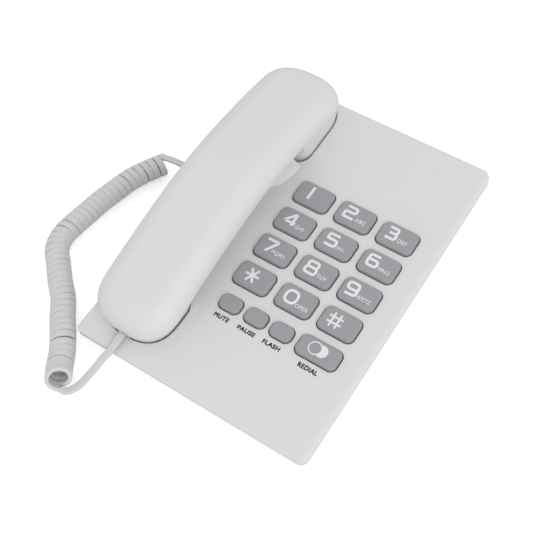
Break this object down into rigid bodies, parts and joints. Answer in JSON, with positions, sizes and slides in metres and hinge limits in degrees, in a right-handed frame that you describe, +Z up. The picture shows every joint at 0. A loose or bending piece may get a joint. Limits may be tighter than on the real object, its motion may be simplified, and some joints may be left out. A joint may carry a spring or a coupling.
{
  "type": "corded telephone",
  "caption": "Desk telephone with a low sloping base, raised keys, an arched handset lying in two wells, and a coiled cord plugged into both.",
  "frame": {"origin": "on the desk, under the middle of the base", "axes": "+X right across the keypad, +Y from the front of the base to the back, +Z up"},
  "size_m": [0.2112, 0.2433, 0.0682],
  "materials": {
    "case_plastic": "satin",
    "key_plastic": "satin",
    "dark_plastic": "matte",
    "clear_plastic": "gloss",
    "cord_jacket": "satin",
    "rubber": "matte",
    "keypad_rubber": "matte",
    "board": "satin",
    "steel": "satin",
    "brass": "satin"
  },
  "bodies": {
    "base": {"top_case": "case_plastic", "bottom_case": "case_plastic", "rubber_feet": "rubber", "case_screws": "steel", "keypad_mat": "keypad_rubber", "main_board": "board", "board_parts": "dark_plastic", "board_screws": "steel", "hook_spring": "steel", "hook_switch": "dark_plastic", "sounder": "brass", "ballast_plate": "steel", "ringer_switch_body": "dark_plastic", "line_jack": "case_plastic", "base_cord_jack": "case_plastic", "base_plug": "clear_plastic", "handset_lead": "cord_jacket", "cord_coil": "cord_jacket", "base_lead": "cord_jacket"},
    "handset": {"handset_top_shell": "case_plastic", "handset_lower_shell": "case_plastic", "receiver_capsule": "dark_plastic", "receiver_gasket": "rubber", "microphone_capsule": "steel", "microphone_boot": "rubber", "handset_weight": "steel", "handset_cord_jack": "case_plastic", "handset_screws": "steel", "handset_plug": "clear_plastic"},
    "hook": {"hook_plunger": "case_plastic"},
    "ringer_knob": {"ringer_switch_knob": "key_plastic"},
    "key_1_cap": {"key_1": "key_plastic"},
    "key_2_cap": {"key_2": "key_plastic"},
    "key_3_cap": {"key_3": "key_plastic"},
    "key_4_cap": {"key_4": "key_plastic"},
    "key_5_cap": {"key_5": "key_plastic"},
    "key_6_cap": {"key_6": "key_plastic"},
    "key_7_cap": {"key_7": "key_plastic"},
    "key_8_cap": {"key_8": "key_plastic"},
    "key_9_cap": {"key_9": "key_plastic"},
    "key_star_cap": {"key_star": "key_plastic"},
    "key_0_cap": {"key_0": "key_plastic"},
    "key_hash_cap": {"key_hash": "key_plastic"},
    "key_mute_cap": {"key_mute": "key_plastic"},
    "key_pause_cap": {"key_pause": "key_plastic"},
    "key_flash_cap": {"key_flash": "key_plastic"},
    "key_redial_cap": {"key_redial": "key_plastic"}
  },
  "joints": [
    {"name": "handset_lift", "type": "slide", "parent": "base", "child": "handset", "axis": [0, -0.1392, 0.9903], "range_m": [0, 0.06]},
    {"name": "hook_rise", "type": "slide", "parent": "base", "child": "hook", "axis": [0, -0.1392, 0.9903], "range_m": [0, 0.0036], "deforming": ["hook_spring"]},
    {"name": "ringer_slide", "type": "slide", "parent": "base", "child": "ringer_knob", "axis": [1, 0, 0], "range_m": [0, 0.006]},
    {"name": "key_1_press", "type": "slide", "parent": "base", "child": "key_1_cap", "axis": [0, 0.1392, -0.9903], "range_m": [0, 0.0015], "stiffness_N_per_m": 600},
    {"name": "key_2_press", "type": "slide", "parent": "base", "child": "key_2_cap", "axis": [0, 0.1392, -0.9903], "range_m": [0, 0.0015], "stiffness_N_per_m": 600},
    {"name": "key_3_press", "type": "slide", "parent": "base", "child": "key_3_cap", "axis": [0, 0.1392, -0.9903], "range_m": [0, 0.0015], "stiffness_N_per_m": 600},
    {"name": "key_4_press", "type": "slide", "parent": "base", "child": "key_4_cap", "axis": [0, 0.1392, -0.9903], "range_m": [0, 0.0015], "stiffness_N_per_m": 600},
    {"name": "key_5_press", "type": "slide", "parent": "base", "child": "key_5_cap", "axis": [0, 0.1392, -0.9903], "range_m": [0, 0.0015], "stiffness_N_per_m": 600},
    {"name": "key_6_press", "type": "slide", "parent": "base", "child": "key_6_cap", "axis": [0, 0.1392, -0.9903], "range_m": [0, 0.0015], "stiffness_N_per_m": 600},
    {"name": "key_7_press", "type": "slide", "parent": "base", "child": "key_7_cap", "axis": [0, 0.1392, -0.9903], "range_m": [0, 0.0015], "stiffness_N_per_m": 600},
    {"name": "key_8_press", "type": "slide", "parent": "base", "child": "key_8_cap", "axis": [0, 0.1392, -0.9903], "range_m": [0, 0.0015], "stiffness_N_per_m": 600},
    {"name": "key_9_press", "type": "slide", "parent": "base", "child": "key_9_cap", "axis": [0, 0.1392, -0.9903], "range_m": [0, 0.0015], "stiffness_N_per_m": 600},
    {"name": "key_star_press", "type": "slide", "parent": "base", "child": "key_star_cap", "axis": [0, 0.1392, -0.9903], "range_m": [0, 0.0015], "stiffness_N_per_m": 600},
    {"name": "key_0_press", "type": "slide", "parent": "base", "child": "key_0_cap", "axis": [0, 0.1392, -0.9903], "range_m": [0, 0.0015], "stiffness_N_per_m": 600},
    {"name": "key_hash_press", "type": "slide", "parent": "base", "child": "key_hash_cap", "axis": [0, 0.1392, -0.9903], "range_m": [0, 0.0015], "stiffness_N_per_m": 600},
    {"name": "key_mute_press", "type": "slide", "parent": "base", "child": "key_mute_cap", "axis": [0, 0.1392, -0.9903], "range_m": [0, 0.0015], "stiffness_N_per_m": 600},
    {"name": "key_pause_press", "type": "slide", "parent": "base", "child": "key_pause_cap", "axis": [0, 0.1392, -0.9903], "range_m": [0, 0.0015], "stiffness_N_per_m": 600},
    {"name": "key_flash_press", "type": "slide", "parent": "base", "child": "key_flash_cap", "axis": [0, 0.1392, -0.9903], "range_m": [0, 0.0015], "stiffness_N_per_m": 600},
    {"name": "key_redial_press", "type": "slide", "parent": "base", "child": "key_redial_cap", "axis": [0, 0.1392, -0.9903], "range_m": [0, 0.0015], "stiffness_N_per_m": 600}
  ],
  "couplings": [
    {"joint": "hook_rise", "follows": "handset_lift", "ratio": 0.06}
  ]
}
